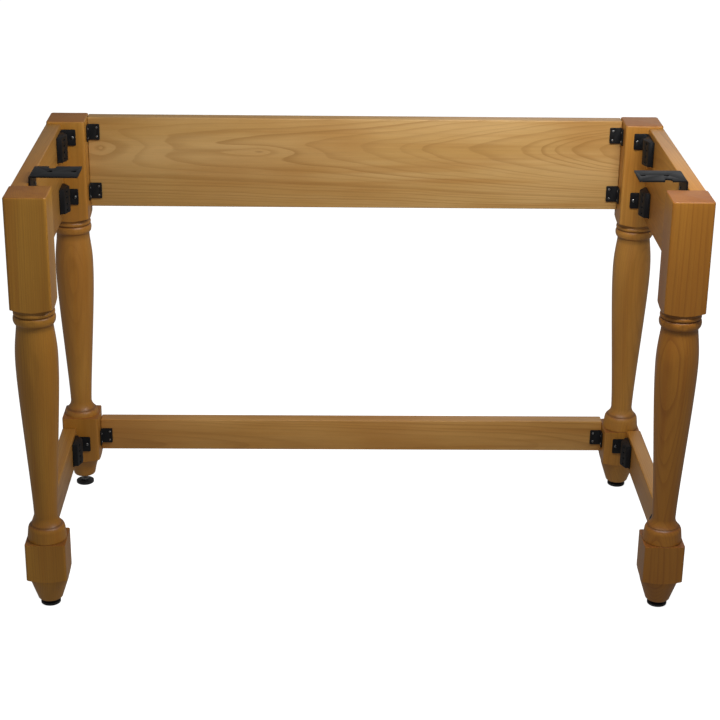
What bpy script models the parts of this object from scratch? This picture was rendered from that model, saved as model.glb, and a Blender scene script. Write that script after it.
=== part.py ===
"""Knock-down wooden loom stand: four turned legs, three aprons and three stretchers held by steel corner
angles, two steel supports that the loom rests on, and four screw-in levelling feet.

Metres, +Z up. The origin is on the floor under the middle of the stand, +X runs along the rear apron and -Y
is the open front.
"""

import math

import bmesh
import bpy
from mathutils import Matrix, Vector

# Overall size, to the outer faces of the legs
WIDTH = 1.126
DEPTH = 0.546
LEG_TOP = 0.740
LEG_SQUARE = 0.069

# Boards: outer faces flush with the legs
BOARD_THICK = 0.027
APRON_HEIGHT = 0.170
REAR_APRON_TOP = 0.738
SIDE_APRON_TOP = 0.736
STRETCHER_HEIGHT = 0.063
STRETCHER_TOP = 0.131
BOARD_EDGE = 0.0015
GAP = 0.0003

# Flats around a turned leg, around the small round pieces and around a bend
LEG_STEPS = 20
FOOT_STEPS = 16
BEND_STEPS = 4

# Leg: the turning runs between two square blocks, whose shoulders the lathe cut from the stock's corners
SPUN_BLOCK = 0.052
TOP_BLOCK_END = 0.5535
LOW_BLOCK_TOP = 0.1415
LOW_BLOCK_END = 0.0605

# Corner angles: the leg leaf or the rear board's leaf is the long one
ANGLE_HEIGHT = 0.030
ANGLE_THICK = 0.0025
ANGLE_SHORT = 0.019
REAR_ANGLE_LONG = 0.0225
SIDE_ANGLE_LONG = 0.026
SIDE_ANGLE_HOLE_AT = 0.020
ANGLE_HOLE_EDGE = 0.0055
SMALL_HOLE = 0.0017
LARGE_HOLE = 0.0024
SMALL_HOLE_SPREAD = 0.0085
UPPER_ANGLE_Z = 0.711
LOWER_ANGLE_Z = 0.599
STRETCHER_ANGLE_Z = 0.098

# Perforated bars on the inner faces of the side boards
BAR_HEIGHT = 0.046
BAR_LIP = 0.0025
BAR_LIP_LENGTH = 0.004
BAR_FRONT = 0.062
BAR_BACK = 0.0195
BAR_FACE = 0.009
BAR_WIDTH = 0.016
BAR_SLANT = 0.017
BAR_RIDGE = 0.008
BAR_HEEL = 0.005
BAR_HOLE = 0.002
BAR_HOLES = 4
BAR_HOLE_PITCH = 0.0115
BAR_HOLE_DEPTH = 0.005
UPPER_BAR_Z = 0.703
FRONT_UPPER_BAR_Z = 0.684
LOWER_BAR_Z = 0.607
STRETCHER_BAR_Z = 0.102

# Loom supports
SUPPORT_TOP = 0.748
SUPPORT_REACH = 0.080
SUPPORT_DEPTH = 0.060
SUPPORT_LEAF = 0.040
SUPPORT_THICK = 0.003
SUPPORT_BEND = 0.004
SUPPORT_Y = -0.148
SUPPORT_HOLE = 0.0045
SUPPORT_HOLES_AT = (0.031, 0.070)
SUPPORT_LEAF_HOLES = (0.018, 0.014)
NOTCH_AT = 0.032
NOTCH_RADIUS = 0.00625
NOTCH_DEPTH = 0.012

# Levelling feet; the wood of the rear left foot is shorter and its foot is screwed out to match
FOOT_WOOD_END = 0.0105
SHORT_FOOT_WOOD_END = 0.0205
SHORT_SHOULDER_LIFT = 0.003
SHORT_FLARE_LIFT = 0.009
SHORT_BLOCK_END_LIFT = 0.004
PAD_RADIUS = 0.017
PAD_HEIGHT = 0.006
PAD_CROWN_RADIUS = 0.0095
PAD_RIM_TOP = 0.0045
PAD_EDGE = 0.001
PAD_SOCKET_FLOOR = 0.0022
STUD_PIN_END = 0.0025
STUD_PIN_RADIUS = 0.003
COLLAR_BASE = PAD_HEIGHT + GAP
COLLAR_TOP = FOOT_WOOD_END - GAP
COLLAR_FLATS = 0.013
STUD_RADIUS = 0.004
STUD_TOP = 0.046
STUD_CHAMFER = 0.0008
INSERT_RADIUS = 0.0065
INSERT_LENGTH = 0.014
INSERT_FLANGE_RADIUS = 0.0085
INSERT_FLANGE_THICK = 0.0012
STUD_HOLE_RADIUS = 0.0048
STUD_HOLE_DEPTH = 0.040

LEG_X = (WIDTH - LEG_SQUARE) / 2
LEG_Y = (DEPTH - LEG_SQUARE) / 2
RAIL_FACE_X = WIDTH / 2 - BOARD_THICK
REAR_FACE_Y = DEPTH / 2 - BOARD_THICK
WELD_DISTANCE = 0.000001
LEG_INNER_X = WIDTH / 2 - LEG_SQUARE
LEG_INNER_Y = DEPTH / 2 - LEG_SQUARE

# Turns that place one stamping at each corner, long leaf inward and short leaf along the board
HALF_TURN = math.pi
CORNER_TURN = {
    ("left", "rear"): (0, 0, 0),
    ("right", "rear"): (0, HALF_TURN, 0),
    ("left", "front"): (HALF_TURN, 0, 0),
    ("right", "front"): (0, 0, HALF_TURN),
}
SIDE_SIGN = {"left": -1, "right": 1}
END_SIGN = {"front": -1, "rear": 1}


def clear_scene():
    for item in list(bpy.data.objects):
        bpy.data.objects.remove(item, do_unlink=True)


def make_collection(name):
    collection = bpy.data.collections.new(name)
    bpy.context.scene.collection.children.link(collection)
    return collection


def make_material(name, colour, roughness, metallic=0.0):
    material = bpy.data.materials.new(name)
    material.use_nodes = True
    shader = material.node_tree.nodes["Principled BSDF"]
    shader.inputs["Base Color"].default_value = (*colour, 1.0)
    shader.inputs["Roughness"].default_value = roughness
    shader.inputs["Metallic"].default_value = metallic
    return material


def place(name, mesh, material, location=(0, 0, 0), rotation=(0, 0, 0)):
    """Add one named sub-part to the stand's collection."""
    item = bpy.data.objects.new(name, mesh)
    item.location = location
    item.rotation_euler = rotation
    if not mesh.materials:
        mesh.materials.append(material)
    STAND.objects.link(item)
    return item


def hide_cutter(item):
    CUTTERS.objects.link(item)
    item.hide_render = True
    item.display_type = "WIRE"
    return item


def evaluated_mesh(item, name):
    """The item's mesh with its modifiers applied, and any loose caps welded."""
    bpy.context.view_layer.update()
    graph = bpy.context.evaluated_depsgraph_get()
    mesh = bpy.data.meshes.new_from_object(item.evaluated_get(graph))
    mesh.name = name
    shape = bmesh.new()
    shape.from_mesh(mesh)
    bmesh.ops.remove_doubles(shape, verts=shape.verts, dist=WELD_DISTANCE)
    shape.to_mesh(mesh)
    shape.free()
    return mesh


def add_boolean(item, cutter, operation="DIFFERENCE"):
    modifier = item.modifiers.new(operation.title(), "BOOLEAN")
    modifier.object = cutter
    modifier.operation = operation
    modifier.solver = "EXACT"


def prism(name, outline, height):
    """A flat outline in X and Y, extruded to height and centred on Z = 0, as a mesh."""
    curve = bpy.data.curves.new(name, "CURVE")
    curve.dimensions = "2D"
    curve.fill_mode = "BOTH"
    curve.extrude = height / 2
    spline = curve.splines.new("POLY")
    spline.points.add(len(outline) - 1)
    for point, (x, y) in zip(spline.points, outline):
        point.co = (x, y, 0, 1)
    spline.use_cyclic_u = True
    guide = bpy.data.objects.new(name + "_outline", curve)
    STAND.objects.link(guide)
    mesh = evaluated_mesh(guide, name)
    bpy.data.objects.remove(guide, do_unlink=True)
    return mesh


def drills(name, holes, segments):
    """One cutter holding a cylinder for each (centre, axis, radius, length)."""
    shape = bmesh.new()
    for centre, axis, radius, length in holes:
        turn = Vector((0, 0, 1)).rotation_difference(Vector(axis)).to_matrix().to_4x4()
        bmesh.ops.create_cone(shape, cap_ends=True, segments=segments, radius1=radius, radius2=radius,
                              depth=length, matrix=Matrix.Translation(centre) @ turn)
    mesh = bpy.data.meshes.new(name)
    shape.to_mesh(mesh)
    shape.free()
    return hide_cutter(bpy.data.objects.new(name, mesh))


def drilled(name, blank, holes, segments=10):
    """The blank mesh with the holes cut through it."""
    item = bpy.data.objects.new(name + "_blank", blank)
    STAND.objects.link(item)
    add_boolean(item, drills(name + "_drills", holes, segments))
    mesh = evaluated_mesh(item, name)
    bpy.data.objects.remove(item, do_unlink=True)
    return mesh


def turned(name, profile, material, location, steps):
    """Spin (radius, height) points, listed down the outer side, about Z."""
    mesh = bpy.data.meshes.new(name)
    points = [(radius, 0, height) for radius, height in profile]
    mesh.from_pydata(points, [(i, i + 1) for i in range(len(points) - 1)], [])
    item = place(name, mesh, material, location)
    screw = item.modifiers.new("Spin", "SCREW")
    screw.steps = steps
    screw.render_steps = steps
    screw.use_merge_vertices = True
    screw.merge_threshold = 0.00001
    screw.use_smooth_shade = True
    return item


def bezier(start, lead_out, lead_in, end, count):
    """Points of a cubic Bezier curve after its start, up to and including its end."""
    points = []
    for i in range(1, count + 1):
        t = i / count
        weights = ((1 - t) ** 3, 3 * t * (1 - t) ** 2, 3 * t * t * (1 - t), t ** 3)
        points.append(tuple(sum(w * p[k] for w, p in zip(weights, (start, lead_out, lead_in, end)))
                            for k in range(2)))
    return points


def lifted(points, height):
    return [(radius, z + height) for radius, z in points]


def leg_profile(wood_end):
    """Outline of a leg from the top down its outer side, then up its stud hole, as (radius, height).

    The two blocks are spun wider than the square stock, which the stock then trims to flat faces.
    The short leg was turned from its top end, so its shoulder and flare sit higher above the floor.
    """
    short = wood_end > FOOT_WOOD_END
    shoulder = [(SPUN_BLOCK, TOP_BLOCK_END), (0.0362, 0.5472), (0.0330, 0.5448), (0.0329, 0.5420),
                (0.0343, 0.5396), (0.0343, 0.5374), (0.0322, 0.5350)]
    shoulder += bezier((0.0322, 0.5350), (0.0368, 0.5326), (0.0362, 0.5208), (0.0308, 0.5180), 5)
    vase = [(0.0307, 0.5125)]
    vase += bezier((0.0307, 0.5125), (0.0326, 0.4960), (0.0352, 0.4800), (0.0355, 0.4550), 3)
    neck = (0.0200, 0.1680)
    flare = bezier(neck, (0.0204, 0.1620), (0.0235, 0.1570), (0.0265, 0.1540), 4)
    flare += bezier((0.0272, 0.1526), (0.0300, 0.1510), (0.0318, 0.1470), (0.0319, 0.1420), 3)
    collar = [(0.0336, 0.1262), (SPUN_BLOCK, LOW_BLOCK_TOP)]
    foot = [(SPUN_BLOCK, LOW_BLOCK_END), (0.0345, 0.0540)]
    if short:
        shoulder = lifted(shoulder, SHORT_SHOULDER_LIFT)
        neck = (neck[0], neck[1] + SHORT_FLARE_LIFT)
        flare = lifted(flare, SHORT_FLARE_LIFT)
        collar = lifted(collar, SHORT_FLARE_LIFT)
        foot = lifted(foot, SHORT_BLOCK_END_LIFT)
        foot += [(0.0300, 0.0545), (0.0250, 0.0420), (0.0215, 0.0280), (0.0190, wood_end)]
    else:
        foot += [(0.0325, 0.0465), (0.0220, 0.0150), (0.0195, wood_end)]
    vase += bezier((0.0355, 0.4550), (0.0355, 0.3900), (0.0215, 0.2350), neck, 7)
    top = [(0, LEG_TOP), (SPUN_BLOCK, LEG_TOP)]
    flange_top = wood_end + INSERT_FLANGE_THICK + GAP
    insert_top = wood_end + INSERT_LENGTH + GAP
    hole_top = wood_end + STUD_HOLE_DEPTH
    hole = [(INSERT_FLANGE_RADIUS + GAP, wood_end), (INSERT_FLANGE_RADIUS + GAP, flange_top),
            (INSERT_RADIUS + GAP, flange_top), (INSERT_RADIUS + GAP, insert_top),
            (STUD_HOLE_RADIUS, insert_top), (STUD_HOLE_RADIUS, hole_top), (0, hole_top)]
    return top + shoulder + vase + flare + collar + foot + hole


def build_legs():
    side = LEG_SQUARE / 2
    square = [(-side, -side), (side, -side), (side, side), (-side, side)]
    for side_name, x_sign in SIDE_SIGN.items():
        for end_name, y_sign in END_SIGN.items():
            where = (x_sign * LEG_X, y_sign * LEG_Y, 0)
            short = (side_name, end_name) == ("left", "rear")
            wood_end = SHORT_FOOT_WOOD_END if short else FOOT_WOOD_END
            name = f"leg_{end_name}_{side_name}"
            leg = turned(name, leg_profile(wood_end), PINE, where, LEG_STEPS)
            stock = bpy.data.objects.new(name + "_stock", prism(name + "_stock", square, 2 * LEG_TOP + GAP))
            stock.location = where
            hide_cutter(stock)
            add_boolean(leg, stock, "INTERSECT")


def board(name, low, high):
    """A plain board between two opposite corners, with eased edges."""
    low, high = Vector(low), Vector(high)
    shape = bmesh.new()
    bmesh.ops.create_cube(shape, size=1, matrix=Matrix.Diagonal((*(high - low), 1)))
    mesh = bpy.data.meshes.new(name)
    shape.to_mesh(mesh)
    shape.free()
    item = place(name, mesh, PINE, (low + high) / 2)
    bevel = item.modifiers.new("Eased edges", "BEVEL")
    bevel.width = BOARD_EDGE
    bevel.segments = 1
    return item


def build_boards():
    end_x = LEG_INNER_X - GAP
    end_y = LEG_INNER_Y - GAP
    for kind, rear_top, side_top, height in (
            ("apron", REAR_APRON_TOP, SIDE_APRON_TOP, APRON_HEIGHT),
            ("stretcher", STRETCHER_TOP, STRETCHER_TOP, STRETCHER_HEIGHT)):
        board(kind + "_rear", (-end_x, REAR_FACE_Y, rear_top - height), (end_x, DEPTH / 2, rear_top))
        for side_name, sign in SIDE_SIGN.items():
            xs = sorted((sign * RAIL_FACE_X, sign * WIDTH / 2))
            board(f"{kind}_{side_name}", (xs[0], -end_y, side_top - height), (xs[1], end_y, side_top))


def angle_mesh(name, long_leaf, long_holes, short_holes):
    """A corner angle with its long leaf along +X and its short leaf along -Y, clear of both faces.

    Holes are (distance from the corner, height, radius).
    """
    near, inner = GAP, GAP + ANGLE_THICK
    outline = [(near, -near), (near, -ANGLE_SHORT), (inner, -ANGLE_SHORT), (inner, -inner),
               (long_leaf, -inner), (long_leaf, -near)]
    middle = (near + inner) / 2
    through = ANGLE_THICK * 2
    holes = [((at, -middle, z), (0, 1, 0), radius, through) for at, z, radius in long_holes]
    holes += [((middle, -at, z), (1, 0, 0), radius, through) for at, z, radius in short_holes]
    return drilled(name, prism(name + "_blank", outline, ANGLE_HEIGHT), holes)


def build_angles():
    pair = (-SMALL_HOLE_SPREAD, SMALL_HOLE_SPREAD)
    long_pair = [(REAR_ANGLE_LONG - ANGLE_HOLE_EDGE, z, SMALL_HOLE) for z in pair]
    short_pair = [(ANGLE_SHORT - ANGLE_HOLE_EDGE, z, SMALL_HOLE) for z in pair]
    rear = angle_mesh("rear_angle", REAR_ANGLE_LONG, long_pair, short_pair)
    side = angle_mesh("side_angle", SIDE_ANGLE_LONG, [(SIDE_ANGLE_HOLE_AT, 0, LARGE_HOLE)], short_pair)
    for kind, level, z in (("apron", "upper", UPPER_ANGLE_Z), ("apron", "lower", LOWER_ANGLE_Z),
                           ("stretcher", "mid", STRETCHER_ANGLE_Z)):
        for (side_name, end_name), turn in CORNER_TURN.items():
            where = (SIDE_SIGN[side_name] * RAIL_FACE_X, END_SIGN[end_name] * LEG_INNER_Y, z)
            place(f"angle_{kind}_{side_name}_{end_name}_{level}", side, BLACK_STEEL, where, turn)
        for side_name, sign in SIDE_SIGN.items():
            where = (sign * LEG_INNER_X, REAR_FACE_Y, z)
            turn = CORNER_TURN[side_name, "rear"]
            place(f"angle_{kind}_rear_{side_name}_{level}", rear, BLACK_STEEL, where, turn)


def bar_mesh():
    """A perforated bar lying on a board's inner face, its corner of board and leg at the origin."""
    slant_end = BAR_FRONT - BAR_SLANT
    outline = [(GAP, -BAR_BACK), (GAP, -BAR_FRONT - BAR_LIP_LENGTH), (BAR_LIP, -BAR_FRONT - BAR_LIP_LENGTH),
               (BAR_LIP, -BAR_FRONT), (BAR_FACE, -BAR_FRONT), (BAR_WIDTH, -slant_end),
               (BAR_WIDTH, -slant_end + BAR_RIDGE), (BAR_HEEL, -BAR_BACK)]
    slant = Vector((BAR_WIDTH - BAR_FACE, BAR_FRONT - slant_end, 0))
    into = Vector((-slant.y, slant.x, 0)).normalized()
    middle = Vector((BAR_FACE, -BAR_FRONT, 0)) + slant / 2
    lowest = -BAR_HOLE_PITCH * (BAR_HOLES - 1) / 2
    holes = [(middle + Vector((0, 0, lowest + i * BAR_HOLE_PITCH)), into, BAR_HOLE, 2 * BAR_HOLE_DEPTH)
             for i in range(BAR_HOLES)]
    return drilled("perforated_bar", prism("perforated_bar_blank", outline, BAR_HEIGHT), holes, segments=8)


def build_bars():
    """Three bars at each corner of the side boards; the upper front ones sit below the loom supports."""
    mesh = bar_mesh()
    for (side_name, end_name), turn in CORNER_TURN.items():
        upper = UPPER_BAR_Z if end_name == "rear" else FRONT_UPPER_BAR_Z
        corner = (SIDE_SIGN[side_name] * RAIL_FACE_X, END_SIGN[end_name] * LEG_INNER_Y)
        for name, z in ((f"bar_apron_{side_name}_{end_name}_upper", upper),
                        (f"bar_apron_{side_name}_{end_name}_lower", LOWER_BAR_Z),
                        (f"bar_stretcher_{side_name}_{end_name}", STRETCHER_BAR_Z)):
            place(name, mesh, BLACK_STEEL, (*corner, z), turn)


def support_mesh():
    """A loom support: a leaf on the board's inner face and a plate reaching inward along +X.

    Its section is drawn in X and Y and stood up, so the extrusion becomes the depth.
    """
    outer, inner = SUPPORT_BEND, SUPPORT_BEND - SUPPORT_THICK
    turn = [math.pi * (1 - i / BEND_STEPS / 2) for i in range(BEND_STEPS + 1)]
    outer_bend = [(GAP + outer + outer * math.cos(a), -outer + outer * math.sin(a)) for a in turn]
    inner_bend = [(GAP + outer + inner * math.cos(a), -outer + inner * math.sin(a)) for a in reversed(turn)]
    section = [(GAP, -SUPPORT_LEAF)] + outer_bend + [(SUPPORT_REACH, 0), (SUPPORT_REACH, -SUPPORT_THICK)]
    section += inner_bend + [(GAP + SUPPORT_THICK, -SUPPORT_LEAF)]
    blank = prism("support_blank", section, SUPPORT_DEPTH)
    blank.transform(Matrix.Rotation(math.pi / 2, 4, "X"))
    plate_z = -SUPPORT_THICK / 2
    through = 4 * SUPPORT_THICK
    edge = SUPPORT_DEPTH / 2
    holes = [((at, 0, plate_z), (0, 0, 1), SUPPORT_HOLE, through) for at in SUPPORT_HOLES_AT]
    round_end = edge - NOTCH_DEPTH + NOTCH_RADIUS
    holes += [((NOTCH_AT, round_end, plate_z), (0, 0, 1), NOTCH_RADIUS, through)]
    spread, rise = SUPPORT_LEAF_HOLES
    holes += [((GAP + SUPPORT_THICK / 2, y, rise - SUPPORT_LEAF), (1, 0, 0), LARGE_HOLE, 2 * SUPPORT_THICK)
              for y in (-spread, spread)]
    low_x, high_x = NOTCH_AT - NOTCH_RADIUS, NOTCH_AT + NOTCH_RADIUS
    past_edge = edge + NOTCH_RADIUS
    mouth = [(low_x, round_end), (high_x, round_end), (high_x, past_edge), (low_x, past_edge)]
    holed = bpy.data.objects.new("support_holed", drilled("support_holed", blank, holes, segments=16))
    STAND.objects.link(holed)
    cutter = hide_cutter(bpy.data.objects.new("notch_mouth", prism("notch_mouth", mouth, through)))
    cutter.location.z = plate_z
    add_boolean(holed, cutter)
    mesh = evaluated_mesh(holed, "support")
    bpy.data.objects.remove(holed, do_unlink=True)
    return mesh


def build_supports():
    mesh = support_mesh()
    for side_name, sign in SIDE_SIGN.items():
        turn = (0, 0, 0) if side_name == "left" else (0, 0, HALF_TURN)
        place(f"support_{side_name}", mesh, BLACK_STEEL, (sign * RAIL_FACE_X, SUPPORT_Y, SUPPORT_TOP), turn)


def insert_profile():
    """Threaded insert, its flange at the bottom, as (radius, height) from its lower face."""
    bore = STUD_RADIUS + GAP
    return [(bore, INSERT_LENGTH), (INSERT_RADIUS, INSERT_LENGTH), (INSERT_RADIUS, INSERT_FLANGE_THICK),
            (INSERT_FLANGE_RADIUS, INSERT_FLANGE_THICK), (INSERT_FLANGE_RADIUS, 0), (bore, 0),
            (bore, INSERT_LENGTH)]


def pad_profile():
    socket = STUD_PIN_RADIUS + GAP
    return [(socket, PAD_HEIGHT), (PAD_CROWN_RADIUS, PAD_HEIGHT), (PAD_RADIUS, PAD_RIM_TOP),
            (PAD_RADIUS, PAD_EDGE), (PAD_RADIUS - PAD_EDGE, 0), (0, 0), (0, PAD_SOCKET_FLOOR),
            (socket, PAD_SOCKET_FLOOR), (socket, PAD_HEIGHT)]


def stud_mesh():
    """Stud: a pin held in the pad, a hexagonal collar and a shank for the leg's insert."""
    profile = [(0, STUD_TOP), (STUD_RADIUS - STUD_CHAMFER, STUD_TOP), (STUD_RADIUS, STUD_TOP - STUD_CHAMFER),
               (STUD_RADIUS, COLLAR_TOP - GAP), (STUD_PIN_RADIUS, COLLAR_BASE + GAP),
               (STUD_PIN_RADIUS, STUD_PIN_END), (0, STUD_PIN_END)]
    blank = turned("stud_blank", profile, ZINC, (0, 0, 0), FOOT_STEPS)
    height = COLLAR_TOP - COLLAR_BASE
    corner = COLLAR_FLATS / math.sqrt(3)
    centre = (0, 0, (COLLAR_TOP + COLLAR_BASE) / 2)
    collar = drills("stud_collar", [(centre, (0, 0, 1), corner, height)], segments=6)
    add_boolean(blank, collar, "UNION")
    mesh = evaluated_mesh(blank, "stud")
    bpy.data.objects.remove(blank, do_unlink=True)
    return mesh


def build_feet():
    stud = stud_mesh()
    for side_name, x_sign in SIDE_SIGN.items():
        for end_name, y_sign in END_SIGN.items():
            corner = f"{end_name}_{side_name}"
            x, y = x_sign * LEG_X, y_sign * LEG_Y
            wood_end = SHORT_FOOT_WOOD_END if corner == "rear_left" else FOOT_WOOD_END
            turned("insert_" + corner, insert_profile(), ZINC, (x, y, wood_end), FOOT_STEPS)
            turned("pad_" + corner, pad_profile(), BLACK_PLASTIC, (x, y, 0), FOOT_STEPS)
            place("stud_" + corner, stud, ZINC, (x, y, 0))


clear_scene()
STAND = make_collection("loom_stand")
CUTTERS = make_collection("cutters")
PINE = make_material("pine", (0.45, 0.25, 0.09), 0.38)
BLACK_STEEL = make_material("black_steel", (0.02, 0.02, 0.022), 0.42, metallic=0.6)
ZINC = make_material("zinc", (0.62, 0.62, 0.60), 0.3, metallic=1.0)
BLACK_PLASTIC = make_material("black_plastic", (0.015, 0.015, 0.016), 0.5)
build_legs()
build_boards()
build_angles()
build_bars()
build_supports()
build_feet()
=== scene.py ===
"""Looks of the loom stand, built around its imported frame: turned pine legs, boards, satin black fittings,
zinc screws and levelling feet, on a plain pale floor."""

import math

import bmesh
import bpy
import numpy as np
from mathutils import Euler, Matrix, Vector


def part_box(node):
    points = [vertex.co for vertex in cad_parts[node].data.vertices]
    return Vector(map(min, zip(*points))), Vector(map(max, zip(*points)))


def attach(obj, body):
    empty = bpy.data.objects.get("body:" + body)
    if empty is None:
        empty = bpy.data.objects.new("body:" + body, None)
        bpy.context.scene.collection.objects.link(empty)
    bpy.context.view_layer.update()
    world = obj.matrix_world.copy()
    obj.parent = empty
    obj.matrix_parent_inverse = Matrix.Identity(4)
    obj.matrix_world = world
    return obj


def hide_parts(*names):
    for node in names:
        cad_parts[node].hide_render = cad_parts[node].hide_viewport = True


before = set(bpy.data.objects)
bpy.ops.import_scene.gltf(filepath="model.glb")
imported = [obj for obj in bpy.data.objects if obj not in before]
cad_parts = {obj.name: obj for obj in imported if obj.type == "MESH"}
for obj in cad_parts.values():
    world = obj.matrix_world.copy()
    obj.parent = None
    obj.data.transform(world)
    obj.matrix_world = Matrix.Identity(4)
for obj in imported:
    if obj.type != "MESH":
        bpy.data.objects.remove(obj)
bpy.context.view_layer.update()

SIDES = {"left": -1, "right": 1}
ENDS = {"front": -1, "rear": 1}
CORNERS = [(end, side) for side in SIDES for end in ENDS]
UP = Vector((0, 0, 1))
HALF_TURN = math.pi

# Camera
CAMERA_AT = (-0.0578, -2.9815, 1.5604)
CAMERA_PITCH = math.radians(21.942)
CAMERA_YAW = math.radians(1.275)
CAMERA_ROLL = math.radians(0.7575)
CAMERA_LENS = 89.575
SENSOR_WIDTH = 36

# Studio. Each light has its place, what it points at, its size, its power and whether it shows in gloss
WORLD_LIGHT = 0.20
FLOOR_GLOW = 0.92
FLOOR_SIZE = 60
FLOOR_DROP = 0.0002
LIGHTS = {
    "over_middle": ((0.05, -0.50, 1.45), (0.05, 0.20, 0.60), (0.9, 0.35), 5.6, True),
    "over_right": ((0.60, -0.55, 1.40), (0.32, 0.27, 0.62), (0.5, 0.3), 6.4, True),
    "front": ((0.0, -3.2, 0.9), (0, 0, 0.4), (2.4, 1.0), 8.0, False),
    "back": ((1.1, 2.8, 1.6), (0.1, 0.1, 0.5), (1.6, 1.0), 4.0, True),
}

# Legs, about each leg's own axis
HALF_STOCK = 0.0345
LEG_TOP = 0.740
CORNER_RADIUS = 0.0045
TOP_ROUND = 0.0025
ARRIS = 0.0005
SPUN_BLOCK = 0.052
LEG_COLUMNS = 192
CORNER_CROWDING = 0.16
FINE_STEP = 0.00025
BLOCK_STEP = 0.01
FOOT_STEP = 0.003
LEAST_STEP = 0.00012
WOOD_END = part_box("leg_front_left")[0].z
SHORT_WOOD_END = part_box("leg_rear_left")[0].z
FLANGE_RADIUS = 0.0085
FLANGE_THICK = 0.0012
INSERT_RADIUS = 0.0065
INSERT_LENGTH = 0.014
STUD_HOLE_RADIUS = 0.0048
STUD_HOLE_DEPTH = 0.040
GROOVE = "groove"
SHORT_SHOULDER_LIFT = 0.003
SHORT_FLARE_LIFT = 0.009
SHORT_BLOCK_END_LIFT = 0.004
# Where the turning is coloured darker, in its grooves and coves: height, half width, strength and the rear
# left leg's lift
GROOVES = ((0.5455, 0.0012, 0.5, SHORT_SHOULDER_LIFT), (0.5430, 0.0018, 0.9, SHORT_SHOULDER_LIFT),
           (0.5350, 0.0014, 1.0, SHORT_SHOULDER_LIFT), (0.5150, 0.0042, 0.7, SHORT_SHOULDER_LIFT),
           (0.1536, 0.0014, 1.0, SHORT_FLARE_LIFT), (0.1262, 0.0012, 0.8, SHORT_FLARE_LIFT),
           (0.1620, 0.0080, 0.25, SHORT_FLARE_LIFT))

# Boards
BOARD_EASE = 0.0018
INNER_FACE = -0.0135

# Fittings
ANGLE_HEIGHT = 0.030
ANGLE_THICK = 0.0025
ANGLE_BEND = 0.0035
ANGLE_SHORT = 0.019
ANGLE_ROUND = 0.0022
ANGLE_EDGE = 0.0003
REAR_ANGLE_LONG = 0.0225
SIDE_ANGLE_LONG = 0.026
HOLE_EDGE = 0.0055
HOLE_SPREAD = 0.0085
SIDE_HOLE_AT = 0.020
SMALL_HOLE = 0.0017
LARGE_HOLE = 0.0024
GAP = 0.0003
SMALL_HEAD = (0.0021, 0.0013)
LARGE_HEAD = (0.0030, 0.0020)

# Perforated bars, about the corner of board and leg
BAR_HEIGHT = 0.046
BAR_LIP = 0.0025
BAR_LIP_LENGTH = 0.004
BAR_FRONT = 0.062
BAR_BACK = 0.0195
BAR_FACE = 0.009
BAR_WIDTH = 0.016
BAR_SLANT = 0.017
BAR_RIDGE = 0.008
BAR_HEEL = 0.005
BAR_HOLE = 0.002
BAR_HOLES = 4
BAR_HOLE_PITCH = 0.0115
BAR_HOLE_DEPTH = 0.005
BAR_EDGE = 0.0005

# Loom supports, about the top corner of their leaf
SUPPORT_REACH = 0.080
SUPPORT_DEPTH = 0.060
SUPPORT_LEAF = 0.040
SUPPORT_THICK = 0.003
SUPPORT_BEND = 0.004
SUPPORT_HOLE = 0.0045
SUPPORT_HOLES_AT = (0.031, 0.070)
SUPPORT_LEAF_HOLES = (0.018, 0.014)
SUPPORT_EDGE = 0.0004
NOTCH_AT = 0.032
NOTCH_RADIUS = 0.00625
NOTCH_DEPTH = 0.012

# Feet, about the middle of each pad's underside
PAD_RADIUS = 0.017
PAD_HEIGHT = 0.006
PIN_RADIUS = 0.003
PIN_END = 0.0025
PAD_SOCKET_FLOOR = 0.0022
COLLAR_LOW = PAD_HEIGHT + GAP
COLLAR_HIGH = 0.0102
COLLAR_FLATS = 0.013
THREAD_RADIUS = 0.004
THREAD_DEPTH = 0.0006
THREAD_PITCH = 0.00125
THREAD_STEPS = 8
THREAD_FLANK = 1.25
STUD_TOP = 0.046
STUD_CHAMFER = 0.0008
COLLAR_CHAMFER = 0.0006
COLLAR_RELIEF = 0.0004
INSERT_RIBS = 6
INSERT_RIB_PITCH = 0.0019


# ---------------------------------------------------------------- shader graph helpers


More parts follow.
